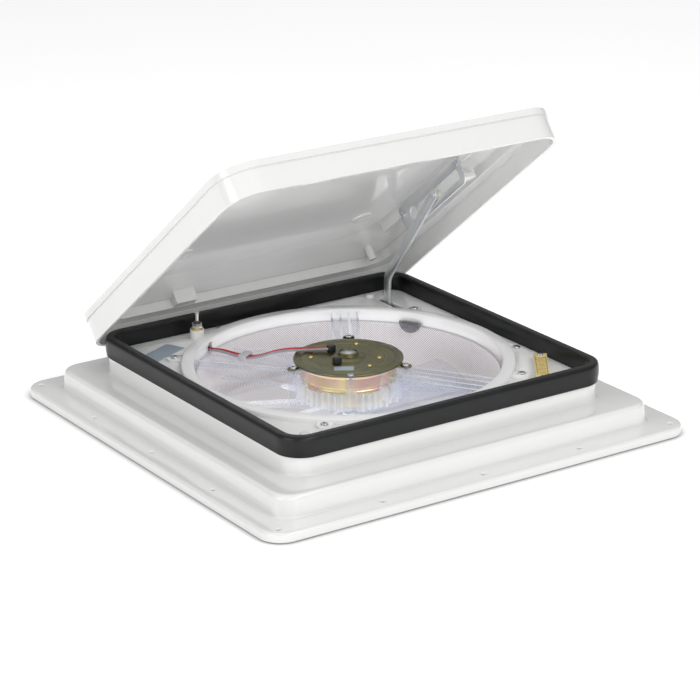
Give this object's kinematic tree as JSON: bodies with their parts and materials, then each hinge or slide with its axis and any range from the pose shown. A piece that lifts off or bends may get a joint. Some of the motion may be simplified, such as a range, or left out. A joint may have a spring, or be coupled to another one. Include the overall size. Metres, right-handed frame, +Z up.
{
  "type": "roof vent cover",
  "caption": "Square roof vent with a hinged lid on a lift arm, a rubber rim seal and a 12 volt fan behind a gauze screen.",
  "frame": {"origin": "centre of the flange on the roof skin, the plane the flange lands on", "axes": "+Z up out of the roof, +Y towards the lid hinge, +X along the hinge to the side that carries the lift arm"},
  "size_m": [0.5, 0.5, 0.3449],
  "materials": {
    "white_plastic": "moulded, glossy",
    "seal_rubber": "satin",
    "clear_plastic": "clear moulding",
    "zinc_steel": "zinc plated",
    "screw_steel": "plated",
    "yellow_zinc": "yellow chromate zinc plating",
    "bearing_steel": "ground",
    "ferrite": "sintered",
    "copper_windings": "enamelled wire",
    "carbon": "pressed carbon",
    "black_plastic": "moulded",
    "gold_metal": "plated",
    "nickel": "nickel plated",
    "label_foil": "printed foil, blank",
    "red_insulation": "wire insulation",
    "grey_insulation": "wire insulation",
    "grey_plastic": "moulded",
    "nylon": "machined nylon",
    "sensor_board": "bare circuit board",
    "screen_gauze": "woven insect gauze"
  },
  "bodies": {
    "base": {"air_duct": "white_plastic", "brush_holder": "black_plastic", "deck_plate": "white_plastic", "deck_screws": "screw_steel", "drive_cover": "black_plastic", "drive_housing": "black_plastic", "fan_ring": "white_plastic", "fuse_holder": "black_plastic", "hinge_pins": "zinc_steel", "inner_panel": "white_plastic", "lid_switch": "black_plastic", "motor_bearings": "bearing_steel", "motor_brushes": "carbon", "motor_can": "yellow_zinc", "motor_magnets": "ferrite", "motor_mount": "clear_plastic", "motor_plate": "yellow_zinc", "motor_rivets": "gold_metal", "motor_screws": "screw_steel", "motor_sticker": "label_foil", "motor_terminals": "black_plastic", "neck_frame": "white_plastic", "panel_screws": "screw_steel", "rain_sensor": "sensor_board", "rating_label": "label_foil", "rim_seal": "seal_rubber", "rocker_switch": "black_plastic", "roof_base": "white_plastic", "screen_mesh": "screen_gauze", "screw_caps": "white_plastic", "sensor_holder": "white_plastic", "sensor_screws": "screw_steel", "sensor_traces": "gold_metal", "shaft_bearing": "black_plastic", "speed_switch": "black_plastic", "switch_nut": "nickel", "switch_washer": "gold_metal", "upper_frame": "white_plastic", "wire_clip": "grey_plastic", "wire_grey": "grey_insulation", "wire_red": "red_insulation"},
    "lid": {"lid_dome": "white_plastic", "lid_skirt": "white_plastic", "slide_plate": "zinc_steel", "plate_screws": "screw_steel"},
    "arm": {"lift_arm": "zinc_steel", "arm_pin": "zinc_steel", "pin_bushing": "nylon", "arm_shaft": "zinc_steel", "worm_wheel": "nylon"},
    "crank": {"crank_shaft": "zinc_steel", "crank_knob": "grey_plastic"},
    "fan": {"fan_shaft": "zinc_steel", "fan_blades": "clear_plastic", "hub_nut": "zinc_steel", "motor_armature": "copper_windings"},
    "plunger": {"switch_plunger": "nickel"},
    "speed_knob": {"speed_knob": "grey_plastic"},
    "rocker": {"rocker_paddle": "black_plastic"},
    "fuse_cap": {"fuse_cap": "black_plastic"}
  },
  "joints": [
    {"name": "lid_hinge", "type": "hinge", "parent": "base", "child": "lid", "pos_m": [0, 0.195, 0.044], "axis": [-1, 0, 0], "range_deg": [-38, 9]},
    {"name": "arm_lift", "type": "hinge", "parent": "base", "child": "arm", "pos_m": [0.145, 0.14, 0.034], "axis": [-1, 0, 0], "range_deg": [-47.93, 11.39]},
    {"name": "crank_turn", "type": "hinge", "parent": "base", "child": "crank", "pos_m": [0.133, 0.12, 0], "axis": [0, 0, 1], "range_deg": [-958.6, 227.8]},
    {"name": "fan_spin", "type": "hinge", "parent": "base", "child": "fan", "pos_m": [0, 0, 0.009], "axis": [0, 0, 1], "continuous": true},
    {"name": "lid_switch_press", "type": "slide", "parent": "base", "child": "plunger", "axis": [0, 0, -1], "range_m": [0, 0.005], "stiffness_N_per_m": 400, "springref_m": -0.002},
    {"name": "speed_turn", "type": "hinge", "parent": "base", "child": "speed_knob", "pos_m": [-0.129, -0.125, -0.02], "axis": [0, 0, -1], "range_deg": [0, 120]},
    {"name": "direction_rock", "type": "hinge", "parent": "base", "child": "rocker", "pos_m": [0.129, -0.125, -0.0105], "axis": [0, 1, 0], "range_deg": [-7, 7]},
    {"name": "fuse_cap_twist", "type": "hinge", "parent": "base", "child": "fuse_cap", "pos_m": [-0.129, 0.125, -0.015], "axis": [0, 0, -1], "range_deg": [0, 90]}
  ],
  "couplings": [
    {"joint": "arm_lift", "follows": "lid_hinge", "ratio": 1.26},
    {"joint": "crank_turn", "follows": "lid_hinge", "ratio": 25.2}
  ]
}
